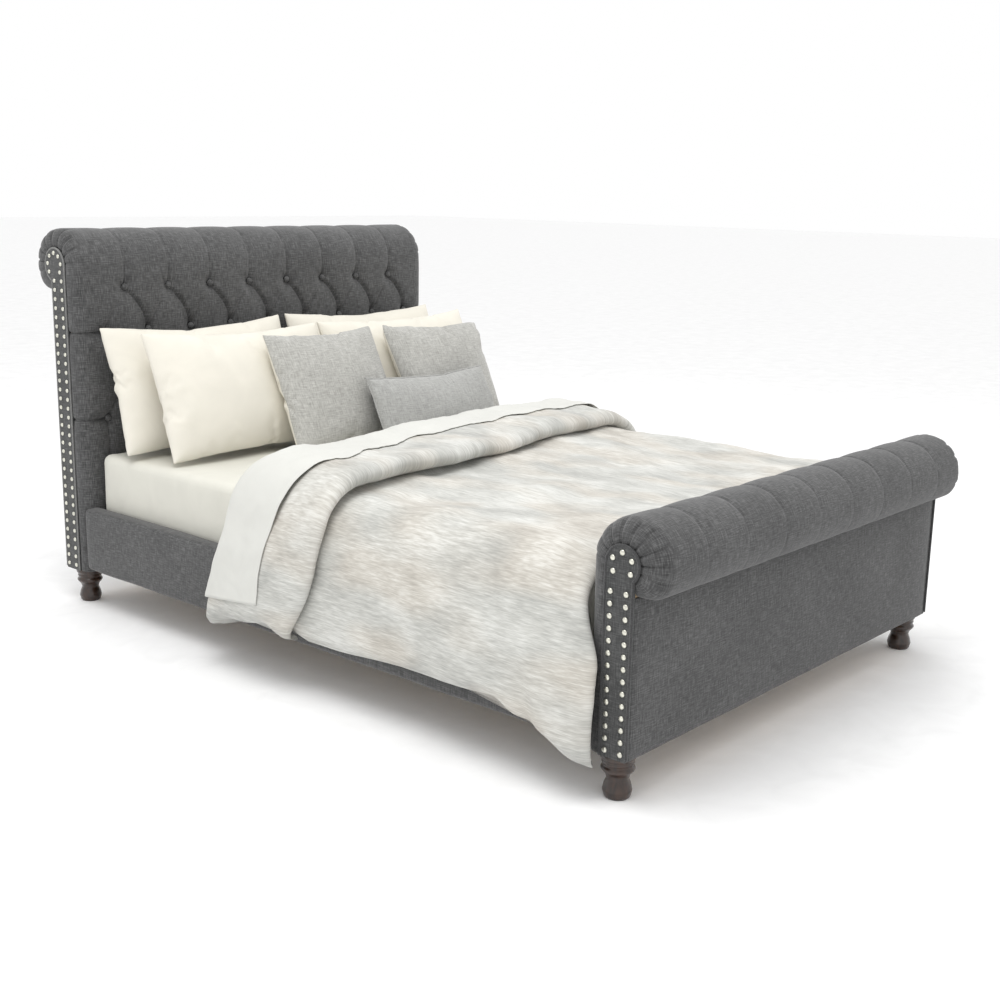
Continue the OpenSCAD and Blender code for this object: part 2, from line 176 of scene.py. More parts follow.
def lamp(name, at, size, watts, toward=(0, 0, 0.5)):
    light = bpy.data.lights.new(name, "AREA")
    light.energy, light.size = watts, size
    placed = bpy.data.objects.new(name, light)
    placed.location = at
    placed.rotation_mode = "QUATERNION"
    placed.rotation_quaternion = (Vector(toward) - Vector(at)).to_track_quat("-Z", "Y")
    bpy.context.scene.collection.objects.link(placed)
    return placed


lamp("key", (-1.6, -0.6, 4.2), 2.4, 80)
lamp("window", (2.6, 1.2, 3.4), 2.2, 25)

# %% [markdown]
# ## Finishes
# A finish is a small network of nodes. Woven cloth is drawn with noise that
# is stretched along the threads, once each way, which gives the slubs of
# linen. The same noise raises the surface a little, so light catches it.

# %% Helpers for finishes
def start_finish(name, roughness, **shader):
    """A new material, and its shader with the plain values set on it."""
    finish = bpy.data.materials.new(name)
    finish.use_nodes = True
    principled = finish.node_tree.nodes["Principled BSDF"]
    principled.inputs["Roughness"].default_value = roughness
    for socket, value in shader.items():
        principled.inputs[socket.replace("_", " ")].default_value = value
    return finish, principled


def add(finish, kind, **inputs):
    """Adds a node. Inputs are linked when they are sockets and set when they are values."""
    node = finish.node_tree.nodes.new("ShaderNode" + kind)
    for name, value in inputs.items():
        name = name.replace("_", " ")
        if not hasattr(node.inputs.get(name), "default_value"):
            setattr(node, name.replace(" ", "_").lower(), value)
        elif isinstance(value, bpy.types.NodeSocket):
            finish.node_tree.links.new(value, node.inputs[name])
        else:
            node.inputs[name].default_value = value
    return node


def thread_noise(finish, place, stretch, detail=2.0, distortion=0.0):
    scaled = add(finish, "Mapping", Vector=place, Scale=stretch).outputs["Vector"]
    return add(finish, "TexNoise", Vector=scaled, Scale=1.0, Detail=detail, Distortion=distortion).outputs["Fac"]


def math_node(finish, how, a, b):
    node = finish.node_tree.nodes.new("ShaderNodeMath")
    node.operation = how
    for socket, value in zip(node.inputs, (a, b)):
        if isinstance(value, bpy.types.NodeSocket):
            finish.node_tree.links.new(value, socket)
        else:
            socket.default_value = value
    return node.outputs[0]


def shades(finish, amount, *stops):
    """Colours along amount, as (position, (r, g, b)) pairs."""
    ramp = add(finish, "ValToRGB", Fac=amount)
    ramp.color_ramp.elements[0].position, ramp.color_ramp.elements[0].color = stops[0][0], (*stops[0][1], 1)
    ramp.color_ramp.elements[1].position, ramp.color_ramp.elements[1].color = stops[-1][0], (*stops[-1][1], 1)
    for position, colour in stops[1:-1]:
        ramp.color_ramp.elements.new(position).color = (*colour, 1)
    return ramp.outputs["Color"]


def raise_surface(finish, principled, height, strength, distance):
    bump = add(finish, "Bump", Height=height, Strength=strength, Distance=distance)
    finish.node_tree.links.new(bump.outputs["Normal"], principled.inputs["Normal"])


def mixed(finish, first, second, share):
    """First and second added together, with share of the second."""
    return math_node(finish, "ADD", math_node(finish, "MULTIPLY", first, 1 - share),
                     math_node(finish, "MULTIPLY", second, share))


def linen(name, dark, mid, light, slub=1.0, roughness=0.9, sheen=0.2):
    """Plain-woven linen: fine threads and thick slubs, both ways, and a broad unevenness of dye."""
    finish, principled = start_finish(name, roughness, Sheen_Weight=sheen, Sheen_Roughness=0.5)
    place = add(finish, "UVMap", uv_map="cloth").outputs["UV"]
    fine_threads = mixed(finish, thread_noise(finish, place, (70 * slub, 620 * slub, 1)),
                         thread_noise(finish, place, (620 * slub, 70 * slub, 1)), 0.5)
    slubs = mixed(finish, thread_noise(finish, place, (34 * slub, 390 * slub, 1), detail=1),
                  thread_noise(finish, place, (390 * slub, 34 * slub, 1), detail=1), 0.5)
    threads = mixed(finish, fine_threads, slubs, 0.60)
    tone = mixed(finish, threads, thread_noise(finish, place, (5, 5, 1)), 0.10)
    colour = shades(finish, tone, (0.40, dark), (0.5, mid), (0.60, light))
    finish.node_tree.links.new(colour, principled.inputs["Base Color"])
    raise_surface(finish, principled, threads, 0.4, 0.0012)
    return finish


def streaked_cotton():
    """Duvet cloth: short pale streaks along the bed, over soft patches of warm and cool grey."""
    finish, principled = start_finish("duvet_cover", 0.85, Sheen_Weight=0.12, Sheen_Roughness=0.5)
    place = add(finish, "UVMap", uv_map="cloth").outputs["UV"]
    fine = thread_noise(finish, place, (430, 34, 1), detail=2)
    long = thread_noise(finish, place, (150, 11, 1), detail=2)
    patch = thread_noise(finish, place, (9, 5, 1), detail=2, distortion=0.3)
    tint = thread_noise(finish, place, (6, 3, 1), detail=1)
    tone = mixed(finish, mixed(finish, fine, long, 0.45), patch, 0.40)
    cool = shades(finish, tone, (0.38, (0.355, 0.355, 0.335)), (0.5, (0.49, 0.49, 0.46)),
                  (0.62, (0.64, 0.64, 0.61)))
    warm = shades(finish, tone, (0.38, (0.39, 0.365, 0.325)), (0.5, (0.52, 0.495, 0.445)),
                  (0.62, (0.68, 0.665, 0.62)))
    choice = shades(finish, tint, (0.44, (0, 0, 0)), (0.60, (1, 1, 1)))
    mix = add(finish, "MixRGB", Fac=choice, Color1=cool, Color2=warm)
    finish.node_tree.links.new(mix.outputs["Color"], principled.inputs["Base Color"])
    raise_surface(finish, principled, fine, 0.3, 0.0006)
    return finish


def cotton(name, colour, crease=0.0012):
    """Smooth bed cotton: one colour with faint creases and a fine weave."""
    finish, principled = start_finish(name, 0.75, Sheen_Weight=0.12, Sheen_Roughness=0.4)
    place = add(finish, "TexCoord").outputs["Object"]
    soft = thread_noise(finish, place, (9, 9, 9), detail=3, distortion=0.8)
    weave = thread_noise(finish, place, (900, 900, 900))
    tone = math_node(finish, "ADD", math_node(finish, "MULTIPLY", soft, 0.8), math_node(finish, "MULTIPLY", weave, 0.2))
    low, high = tuple(c * 0.95 for c in colour), tuple(min(1, c * 1.03) for c in colour)
    finish.node_tree.links.new(shades(finish, tone, (0.3, low), (0.7, high)), principled.inputs["Base Color"])
    raise_surface(finish, principled, tone, 0.35, crease * 4)
    return finish


def timber(name, dark, light, roughness, along=(3, 40, 40), coat=0.0):
    """Wood with grain that runs along one axis."""
    finish, principled = start_finish(name, roughness, Coat_Weight=coat, Coat_Roughness=0.25)
    place = add(finish, "TexCoord").outputs["Object"]
    grain = thread_noise(finish, place, along, detail=6, distortion=1.2)
    finish.node_tree.links.new(shades(finish, grain, (0.35, dark), (0.65, light)), principled.inputs["Base Color"])
    raise_surface(finish, principled, grain, 0.2, 0.001)
    return finish


def metal(name, colour, roughness):
    finish, principled = start_finish(name, roughness, Metallic=1.0)
    place = add(finish, "TexCoord").outputs["Object"]
    rub = thread_noise(finish, place, (160, 160, 160), detail=4)
    finish.node_tree.links.new(shades(finish, rub, (0.35, tuple(c * 0.8 for c in colour)), (0.6, colour)),
                               principled.inputs["Base Color"])
    worn = math_node(finish, "ADD", math_node(finish, "MULTIPLY", rub, 0.25), roughness - 0.1)
    finish.node_tree.links.new(worn, principled.inputs["Roughness"])
    return finish

# %% The finishes of this bed
grey_linen = linen("grey_linen", (0.030, 0.030, 0.030), (0.062, 0.062, 0.0625), (0.122, 0.122, 0.122))
panel_linen = linen("panel_linen", (0.026, 0.027, 0.027), (0.052, 0.053, 0.053), (0.100, 0.101, 0.100))
cord_cloth = linen("cord_cloth", (0.024, 0.024, 0.025), (0.046, 0.046, 0.047), (0.080, 0.080, 0.081), slub=1.6)
edge_cord = linen("edge_cord", (0.11, 0.11, 0.108), (0.17, 0.17, 0.166), (0.24, 0.24, 0.23), slub=1.6)
cushion_linen = linen("cushion_linen", (0.29, 0.285, 0.265), (0.39, 0.385, 0.36), (0.51, 0.505, 0.475))
lumbar_linen = linen("lumbar_linen", (0.265, 0.265, 0.255), (0.345, 0.345, 0.33), (0.43, 0.43, 0.415))
piping_black = linen("piping_black", (0.010, 0.010, 0.011), (0.016, 0.016, 0.018), (0.030, 0.030, 0.032), slub=1.6)
duvet_cotton = streaked_cotton()
cream_cotton = cotton("cream_cotton", (0.72, 0.69, 0.61))
sheet_cotton = cotton("sheet_cotton", (0.62, 0.62, 0.585))
fitted_cotton = cotton("fitted_cotton", (0.66, 0.65, 0.585))
ticking = cotton("mattress_ticking", (0.80, 0.79, 0.76))
turned_wood = timber("turned_wood", (0.013, 0.0055, 0.003), (0.038, 0.016, 0.008), 0.32, along=(60, 60, 5), coat=0.5)
pine = timber("pine", (0.45, 0.30, 0.16), (0.66, 0.48, 0.29), 0.6)
pine_along = timber("pine_along", (0.45, 0.30, 0.16), (0.66, 0.48, 0.29), 0.6, along=(40, 3, 40))
plywood = timber("plywood", (0.40, 0.27, 0.15), (0.58, 0.42, 0.26), 0.7, along=(4, 30, 12))
cardboard = timber("cardboard", (0.30, 0.20, 0.12), (0.38, 0.27, 0.17), 0.9, along=(30, 30, 30))
steel = metal("zinc_steel", (0.55, 0.56, 0.57), 0.4)
nickel = metal("nickel_nails", (0.78, 0.77, 0.68), 0.32)
black_plastic = timber("black_plastic", (0.02, 0.02, 0.02), (0.035, 0.035, 0.035), 0.5, along=(80, 80, 80))
floor_paint = cotton("floor_paint", (0.96, 0.96, 0.96), crease=0.0)
floor.data.materials.append(floor_paint)

# %% [markdown]
# ## The padded boards
# Head and foot are the same thing at two heights: foam over a timber frame,
# rolled outward over a tube at the top. The section is a straight face, then
# an arc round the roll, then a smaller lobe where the cloth turns back in.
# Sweeping that section across the bed and rounding the ends gives one closed
# cushion. Its buttons, pleats and channels are a height added along the
# surface, which keeps the sewing lines exactly where the CAD buttons are.

# %% Read a board's sizes from its CAD nodes
def board_sizes(board, cover):
    low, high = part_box(f"{board}_padding")
    panel_low, panel_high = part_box(f"{board}_end_panel_right")
    cover_low, cover_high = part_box(f"{board}_{cover}")
    out = 1 if low.y > 0 else -1
    face, strip = (low.y, panel_low.y) if out > 0 else (high.y, panel_high.y)
    roll = (high.y - low.y) / 2
    back = cover_high.y if out > 0 else cover_low.y
    scroll, pad = (panel_high.y - panel_low.y) / 2, abs(strip - face)
    return {"out": out, "face": face, "roll": roll, "top": high.z - roll, "foot": low.z,
            "half": high.x, "end": panel_high.x, "pad": pad, "deep": abs(back - face),
            "under": high.z - roll - cover_high.z, "scroll": scroll, "eye": pad + scroll}


head = board_sizes("headboard", "back_cover")
foot = board_sizes("footboard", "outer_cover")
print("headboard", {k: round(v, 3) for k, v in head.items()})


def board_section(b, step=0.005):
    """Outline of the padding as (outward, up): points, inward directions, and the points on the frame behind."""
    lobe = 0.045
    dip = math.asin((b["under"] - lobe) / (b["roll"] - lobe))
    centre = np.array([b["roll"], b["top"]])
    lobe_at = centre + (b["roll"] - lobe) * np.array([math.cos(dip), -math.sin(dip)])
    rise = np.linspace(b["foot"], b["top"], int((b["top"] - b["foot"]) / step))[:-1]
    turn = np.linspace(math.pi, -dip, int(b["roll"] * (math.pi + dip) / step))
    curl = np.linspace(-dip, -math.pi / 2, 10)[1:]
    under = np.linspace(lobe_at[0], b["deep"] + 0.001, 8)[1:]
    ray = np.stack([np.cos(turn), np.sin(turn)], 1)
    curl_ray = np.stack([np.cos(curl), np.sin(curl)], 1)
    out = np.concatenate([
        np.stack([0 * rise, rise], 1), centre + b["roll"] * ray,
        lobe_at + lobe * curl_ray, np.stack([under, 0 * under + b["top"] - b["under"]], 1)])
    inward = np.concatenate([
        np.stack([0 * rise + 1, 0 * rise], 1), -ray, -curl_ray, np.stack([0 * under, 0 * under + 1], 1)])
    eye = np.array([b["eye"], b["top"]])
    hidden = np.linspace(-dip, -math.acos((b["deep"] - b["eye"]) / b["scroll"]), len(curl) + len(under))
    behind = np.concatenate([
        np.stack([0 * rise + b["pad"], rise], 1), eye + b["scroll"] * ray,
        eye + b["scroll"] * np.stack([np.cos(hidden), np.sin(hidden)], 1)])
    along = np.concatenate([[0], np.cumsum(np.linalg.norm(np.diff(out, axis=0), axis=1))])
    return out, inward, behind, along


def upholster(name, b, raised, round_end=0.036, step=0.005):
    """The padding of one board. raised(x, along) is how far the cloth stands off the plain section."""
    out, inward, behind, along = board_section(b, step)
    flat_half = b["half"] - round_end
    x_main = np.linspace(-flat_half, flat_half, int(2 * flat_half / step))
    turn = np.linspace(0, math.pi / 2, 9)[1:]
    ring = np.linspace(0, 1, 4)[1:]
    right_x = np.concatenate([flat_half + round_end * np.sin(turn), b["half"] - 0.004 * ring])
    right_in = np.concatenate([round_end * (1 - np.cos(turn)), round_end + (b["pad"] - round_end) * ring])
    right_side = np.concatenate([np.sin(turn), 1 + 0 * ring])
    x = np.concatenate([-right_x[::-1], x_main, right_x])
    inset = np.concatenate([right_in[::-1], 0 * x_main, right_in])
    side = np.concatenate([-right_side[::-1], 0 * x_main, right_side])
    high = raised(*np.meshgrid(x, along))
    share = np.clip(inset / b["pad"], 0, 1)[None, :, None]
    flat = out[:, None, :] * (1 - share) + behind[:, None, :] * share
    flat = flat - inward[:, None, :] * (high * np.sqrt(1 - side ** 2)[None, :])[..., None]
    across = x[None, :] + high * side[None, :]
    points = np.stack([across, b["face"] + b["out"] * flat[..., 0], flat[..., 1]], -1)
    rows, cols = high.shape
    stretch = np.concatenate([[0], np.cumsum(np.hypot(np.diff(x), np.diff(inset)))])
    cloth = np.stack(np.meshgrid(stretch, along), -1)
    last_row = (rows - 1) * cols
    faces = grid_faces(rows, cols, wrap=True) + [list(range(cols)), list(range(last_row, last_row + cols))]
    made = mesh_object(name, points, faces)
    lay_cloth(made, cloth)
    return made, along

# %% [markdown]
# ## Deep buttoning
# Each button is pulled through the foam by a cord, and pleats run from it to
# its neighbours in the rows above and below, so the cloth between stands up
# in soft diamonds. From the top row the pleats run on over the roll, and
# from the ends of the long rows they run out to the sides.

# %% Button places, read from the CAD node
def island_centres(node):
    """Middles of the separate pieces inside one CAD node's mesh."""
    shape = bmesh.new()
    shape.from_mesh(nodes[node].data)
    bmesh.ops.remove_doubles(shape, verts=shape.verts, dist=1e-5)
    left, centres = set(shape.verts), []
    while left:
        group, edge = set(), [left.pop()]
        while edge:
            vert = edge.pop()
            group.add(vert)
            for link in vert.link_edges:
                other = link.other_vert(vert)
                if other in left:
                    left.discard(other)
                    edge.append(other)
        co = np.array([v.co for v in group])
        centres.append((co.min(0) + co.max(0)) / 2)
    shape.free()
    return np.array(sorted(centres, key=lambda p: (-round(p[2], 3), p[0])))


buttons = island_centres("headboard_buttons")
row_heights = sorted({round(z, 3) for z in buttons[:, 2]}, reverse=True)
button_rows = [buttons[abs(buttons[:, 2] - z) < 0.002] for z in row_heights]
print("buttons in each row:", [len(row) for row in button_rows])

# %% The pleats as lines on the spread-out cloth
def arc_between(a, b, bend, pieces=6):
    """A line from a to b that bows upward, as gathered cloth does between two buttons."""
    t = np.linspace(0, 1, pieces + 1)[:, None]
    line = np.asarray(a) * (1 - t) + np.asarray(b) * t
    side = np.sign(b[0] - a[0])
    normal = np.array([side * (a[1] - b[1]), side * (b[0] - a[0])])
    normal = normal / max(np.linalg.norm(normal), 1e-9)
    return line + normal * bend * np.sin(math.pi * t) * (1 - 0.3 * np.cos(math.pi * t))


def head_pleats(far):
    """The folded pleats, the soft ones that only show near their lower button, and the straight ones."""
    rows = [[(p[0], p[2] - head["foot"]) for p in row] for row in button_rows]
    folded, soft = [], []
    for upper, lower in zip(rows, rows[1:]):
        gap = abs(upper[0][0] - lower[0][0]) * 1.1
        folded += [arc_between(a, b, 0.013) for a in upper for b in lower if 0 < b[0] - a[0] < gap]
        soft += [arc_between(a, b, 0.006) for a in upper for b in lower if 0 < a[0] - b[0] < gap]
    straight = [np.array([p, (p[0], far)]) for p in rows[0]] + [np.array([p, (p[0], -0.05)]) for p in rows[-1]]
    side = head["half"] + 0.1
    for row in rows[1::2]:
        folded += [np.array([row[0], (-side, row[0][1])]), np.array([row[-1], (side, row[0][1])])]
    return folded, soft, straight


def distance_to(lines, x, y):
    """Distance from each grid point to the nearest line, and to the nearest one under it and over it."""
    under, over = np.full(x.shape, 9.0), np.full(x.shape, 9.0)
    for line in lines:
        near, higher = np.full(x.shape, 9.0), np.zeros(x.shape, bool)
        for a, b in zip(line, line[1:]):
            d = b - a
            t = np.clip(((x - a[0]) * d[0] + (y - a[1]) * d[1]) / (d @ d), 0, 1)
            away = np.hypot(x - a[0] - t * d[0], y - a[1] - t * d[1])
            above = (y - a[1]) * abs(d[0]) >= (x - a[0]) * d[1] * np.sign(d[0])
            higher = np.where(away < near, above, higher)
            near = np.minimum(near, away)
        under = np.where(higher, np.minimum(under, near), under)
        over = np.where(higher, over, np.minimum(over, near))
    return np.minimum(under, over), under, over


def end_gathers(b, x, along, first, last, count=8):
    """Short pleats that gather the cloth round the end of a roll."""
    at = (along - first) / (last - first) * count
    off = np.abs(at - np.round(at)) * (last - first) / count
    crease = np.exp(-(off / 0.0035) ** 2)
    live = ease(first - 0.01, first + 0.01, along) * ease(last + 0.01, last - 0.01, along)
    reach = 0.045 + 0.018 * np.cos(np.round(at) * 2.3)
    near_end = ease(b["half"] - reach, b["half"] - 0.012, np.abs(x))
    puff = np.abs(np.sin(math.pi * at)) * 0.0015
    return live * near_end * (puff - crease * 0.0040)


def puffed(share):
    """Height of a puff from its sewn edge, 0, to its middle, 1: quick at first, then nearly flat."""
    low = (1 - np.clip(share, 0, 1)) ** 2
    return 0.5 * np.sqrt(1 - low) + 0.5 * (1 - low)


def head_raised(x, along):
    """Each puff ends in a folded lip over the pleat below it and rises slowly from the pleat above it."""
    roll_from = head["top"] - head["foot"]
    far = roll_from + head["roll"] * 4.4
    folded, soft, straight = head_pleats(far)
    near, under, over = distance_to(folded, x, along)
    near_soft = distance_to(soft, x, along)[0]
    beside = distance_to(straight, x, along)[0]
    to_button, to_upper = np.full(x.shape, 9.0), np.full(x.shape, 9.0)
    for p in buttons:
        away = np.hypot(x - p[0], along - (p[2] - head["foot"]))
        to_button = np.minimum(to_button, away)
        is_over = along < p[2] - head["foot"]
        to_upper = np.where(is_over, np.minimum(to_upper, away), to_upper)
    on_roll = ease(roll_from - 0.05, roll_from + 0.08, along)
    low_area = 1 - 0.5 * ease(0.36, 0.05, along)
    tall = (0.0125 * (1 - on_roll) + 0.0038 * on_roll) * low_area
    lip = 1 - np.exp(-under / 0.0060)
    slow = ease(-0.012, 0.062, over) ** 0.9
    channel = puffed((beside + 0.002) / (0.045 + 0.03 * on_roll))
    crease = np.exp(-(near / 0.0036) ** 2) * 0.0048 + np.exp(-(beside / 0.0040) ** 2) * (0.0035 - 0.0018 * on_roll)
    gentle = np.exp(-(near_soft / 0.0065) ** 2) * 0.0062 * ease(0.030, 0.085, to_upper)
    pull = 0.0115 * np.exp(-(to_button / 0.025) ** 2)
    edge = ease(head["half"] + 0.01, head["half"] - 0.05, np.abs(x))
    body = (np.minimum(np.minimum(lip, slow), channel) * tall - 0.0020) * (0.25 + 0.75 * edge)
    behind = 0.007 * ease(roll_from + head["roll"] * 1.4, roll_from + head["roll"] * 2.4, along)
    gathers = end_gathers(head, x, along, roll_from + 0.01, roll_from + 0.36)
    return body - crease - gentle - pull + behind + gathers


head_padding, _ = upholster("headboard_cloth", head, head_raised, step=0.004)
dress(head_padding, "bed_frame", grey_linen, ["headboard_padding"])

# %% [markdown]
# ## The footboard's channels
# The foot roll has no buttons. Eight sewn channels divide it into nine soft
# bulges, and the cloth is gathered into small pleats round each end.

# %% Footboard padding
channel_pitch = 0.162
channels = (np.arange(8) - 3.5) * channel_pitch


def foot_raised(x, along):
    roll_from = foot["top"] - foot["foot"]
    near = np.abs(x[..., None] - channels).min(-1)
    outer_side = ease(roll_from + foot["roll"] * 2.9, roll_from + foot["roll"] * 1.5, along)
    on_roll = ease(roll_from - 0.25, roll_from - 0.02, along) * (0.25 + 0.75 * outer_side)
    edge = ease(foot["half"] + 0.005, foot["half"] - 0.06, np.abs(x))
    crease = np.exp(-(near / 0.0042) ** 2) * 0.0022
    body = (puffed(near / (channel_pitch / 2)) * 0.0042 - 0.001 - crease) * on_roll * (0.3 + 0.7 * edge)
    return body + 0.001 + end_gathers(foot, x, along, roll_from + 0.01, roll_from + 0.33)


foot_padding, _ = upholster("footboard_cloth", foot, foot_raised, step=0.004)
dress(foot_padding, "bed_frame", grey_linen, ["footboard_padding"])

# %% [markdown]
# ## Covered buttons, nail heads and cords
# Small trim is repeated by the hundred, so each kind is one low dome copied
# to every CAD centre and joined into one piece. Cords are tubes swept round
# the end panels' outline.

# %% Domes and their copies
def dome_rings(radius, rise, lip, sides=16, rings=5):
    """A low dome with a rolled edge, standing on z = 0, as rings of points."""
    turn = np.linspace(0, 2 * math.pi, sides, endpoint=False)
    up = np.linspace(0, math.pi / 2, rings + 1)[:-1]
    levels = [(radius - lip, 0)] + [(radius * math.cos(a) ** 0.8, lip + (rise - lip) * math.sin(a)) for a in up]
    points = [(r * math.cos(t), r * math.sin(t), z) for r, z in levels for t in turn]
    faces = grid_faces(len(levels), sides, wrap=True)
    top = len(points)
    points.append((0, 0, rise))
    last = (len(levels) - 1) * sides
    faces += [[last + i, last + (i + 1) % sides, top] for i in range(sides)] + [list(range(sides))[::-1]]
    return np.array(points), faces


def copies(name, points, faces, centres, axes):
    """Joins one shape at every centre, standing along its axis."""
    all_points, all_faces = [], []
    for centre, axis in zip(centres, axes):
        turn = np.array(Vector(axis).to_track_quat("Z", "X").to_matrix())
        base = len(all_points) * len(points)
        all_points.append(points @ turn.T + centre)
        all_faces += [[v + base for v in f] for f in faces]
    return mesh_object(name, np.concatenate(all_points), all_faces)


# %% Buttons and nails
button_low, button_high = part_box("headboard_buttons")
button_r = button_high.x - abs(buttons[:, 0]).max()
button_t = button_high.y - button_low.y
points, faces = dome_rings(button_r, button_t * 2.0, 0.0055, sides=20)
made = copies("headboard_button_caps", points, faces,
              buttons + np.array([0, button_t / 2, 0]), [(0, -1, 0)] * len(buttons))
dress(made, "bed_frame", grey_linen, ["headboard_buttons"])

for board in ("headboard", "footboard"):
    centres = island_centres(f"{board}_nails")
    nail_low, nail_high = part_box(f"{board}_nails")
    side = np.sign(centres[:, 0])
    rise = 2 * (nail_high.x - abs(centres[:, 0]).max())
    base = centres - np.array([1, 0, 0]) * (side * rise / 2)[:, None]
    nail_r = 0.0066
    points, faces = dome_rings(nail_r, rise * 1.15, 0.0008, sides=14)
    made = copies(f"{board}_nail_heads", points, faces, base, [(s, 0, 0) for s in side])
    dress(made, "bed_frame", nickel, [f"{board}_nails"])
    print(board, "nails:", len(centres))

# %% Cords round the end panels
def tube(name, path, radius, sides=10, closed=False):
    """A round cord along a path of points."""
    path = np.asarray(path, float)
    ahead = np.gradient(path, axis=0)
    ahead /= np.linalg.norm(ahead, axis=1)[:, None]
    rings = []
    for p, a in zip(path, ahead):
        side = np.cross(a, (1, 0, 0) if abs(a[0]) < 0.9 else (0, 0, 1))
        side /= np.linalg.norm(side)
        up = np.cross(side, a)
        turn = np.linspace(0, 2 * math.pi, sides, endpoint=False)[:, None]
        rings.append(p + radius * (np.cos(turn) * side + np.sin(turn) * up))
    faces = grid_faces(len(path), sides, wrap=True)
    last = (len(path) - 1) * sides
    faces += [list(range(sides))[::-1], list(range(last, last + sides))]
    return mesh_object(name, np.concatenate(rings), faces)


def panel_outline(b, grow, step=0.006):
    """Up the strip's front edge, round the scroll and down its back edge, as (outward, up)."""
    radius = b["scroll"] + grow
    back = b["deep"] + grow
    stop = -math.acos((back - b["eye"]) / radius)
    front = np.arange(b["foot"], b["top"], step)
    turn = np.linspace(math.pi, stop, int(radius * 4 / step))
    arc = np.stack([b["eye"] + radius * np.cos(turn), b["top"] + radius * np.sin(turn)], 1)
    down = np.arange(arc[-1, 1] - step, b["foot"], -step)
    return np.concatenate([np.stack([0 * front + b["pad"] - grow, front], 1), arc, np.stack([0 * down + back, down], 1)])


def welt_piece(board, b, radius, finish):
    line = panel_outline(b, radius * 0.6)
    made = []
    for side in (-1, 1):
        path = np.stack([0 * line[:, 0] + side * (b["end"] - radius * 0.35), b["face"] + b["out"] * line[:, 0], line[:, 1]], 1)
        made.append(tube(f"{board}_welt", path, radius))
    bpy.ops.object.select_all(action="DESELECT")
    for one in made:
        one.select_set(True)
    bpy.context.view_layer.objects.active = made[0]
    bpy.ops.object.join()
    made[0].name = f"{board}_welt_cords"
    dress(made[0], "bed_frame", finish, [f"{board}_welts"])


welt_piece("headboard", head, 0.0028, edge_cord)
welt_piece("footboard", foot, 0.0034, cord_cloth)

# %% [markdown]
# ## Covered panels, rails and legs
# The flat backs of the boards and the side rails are timber wrapped in
# wadding and linen, so their edges are round and their faces stand a little
# proud. A box of points whose corners are pulled in makes that shape.

# %% A soft-edged box
def side_grid(low, high, count, round_r):
    """Positions along one side, closer together where the edge is round."""
    inner = np.linspace(low + round_r, high - round_r, max(2, count))
    edge = round_r * (1 - np.cos(np.linspace(0, math.pi / 2, 5)))[:-1]
    return np.concatenate([low + edge, inner, high - edge[::-1]])


def soft_box(name, low, high, round_r, step, bulge=None):
    """A closed box with round edges. bulge(points, normals) returns how far each point moves outward."""
    low, high = np.array(low, float), np.array(high, float)
    sides = [side_grid(low[k], high[k], int((high[k] - low[k]) / step), round_r) for k in range(3)]
    points, faces = [], []
    for k in range(3):
        u, v = (k + 1) % 3, (k + 2) % 3
        for level in (low[k], high[k]):
            grid = np.stack(np.meshgrid(sides[u], sides[v], indexing="ij"), -1)
            at = np.empty((*grid.shape[:2], 3))
            at[..., u], at[..., v], at[..., k] = grid[..., 0], grid[..., 1], level
            base = sum(len(p) for p in points)
            faces += [[i + base for i in f] for f in grid_faces(*grid.shape[:2])]
            points.append(at.reshape(-1, 3))
    points = np.concatenate(points)
    core = np.clip(points, low + round_r, high - round_r)
    away = points - core
    length = np.linalg.norm(away, axis=1)[:, None]
    normal = away / np.maximum(length, 1e-9)
    points = core + normal * round_r
    if bulge is not None:
        points = points + normal * bulge(points, normal)[:, None]
    made = mesh_object(name, points, faces)
    shape = bmesh.new()
    shape.from_mesh(made.data)
    bmesh.ops.remove_doubles(shape, verts=shape.verts, dist=1e-5)
    bmesh.ops.recalc_face_normals(shape, faces=shape.faces)
    shape.to_mesh(made.data)
    shape.free()
    made.data.shade_smooth()
    return made


# %% Board backs and rail covers
def wadding(low, high, rise, seed):
    """Cloth over wadding: full in the middle, tight at the edges, never quite even."""
    low, high = np.array(low), np.array(high)

    def bulge(points, normal):
        inside = np.clip(np.minimum(points - low, high - points) / 0.05, 0, 1)
        crown = np.sort(inside, axis=1)[:, 1:].prod(1)
        return rise * np.sqrt(crown) + ripple(points, 0.16, seed) * rise * 0.35
    return bulge


for seed, (name, node, rise) in enumerate((
        ("headboard_back", "headboard_back_cover", 0.0035), ("footboard_front", "footboard_outer_cover", 0.0035),
        ("rail_wrap_left", "rail_cover_left", 0.004), ("rail_wrap_right", "rail_cover_right", 0.004))):
    low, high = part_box(node)
    round_r = min(0.0019, (high.y - low.y) * 0.45) if "board" in name else 0.012
    made = soft_box(name, low, high, round_r, 0.02, wadding(low, high, rise, seed))
    dress(made, "bed_frame", grey_linen, [node])

# %% [markdown]
# ## Turned legs
# A turned leg is a profile spun round its axis on a lathe. The profile here
# has a small foot, a slim waist, and two rings under a broad shoulder.

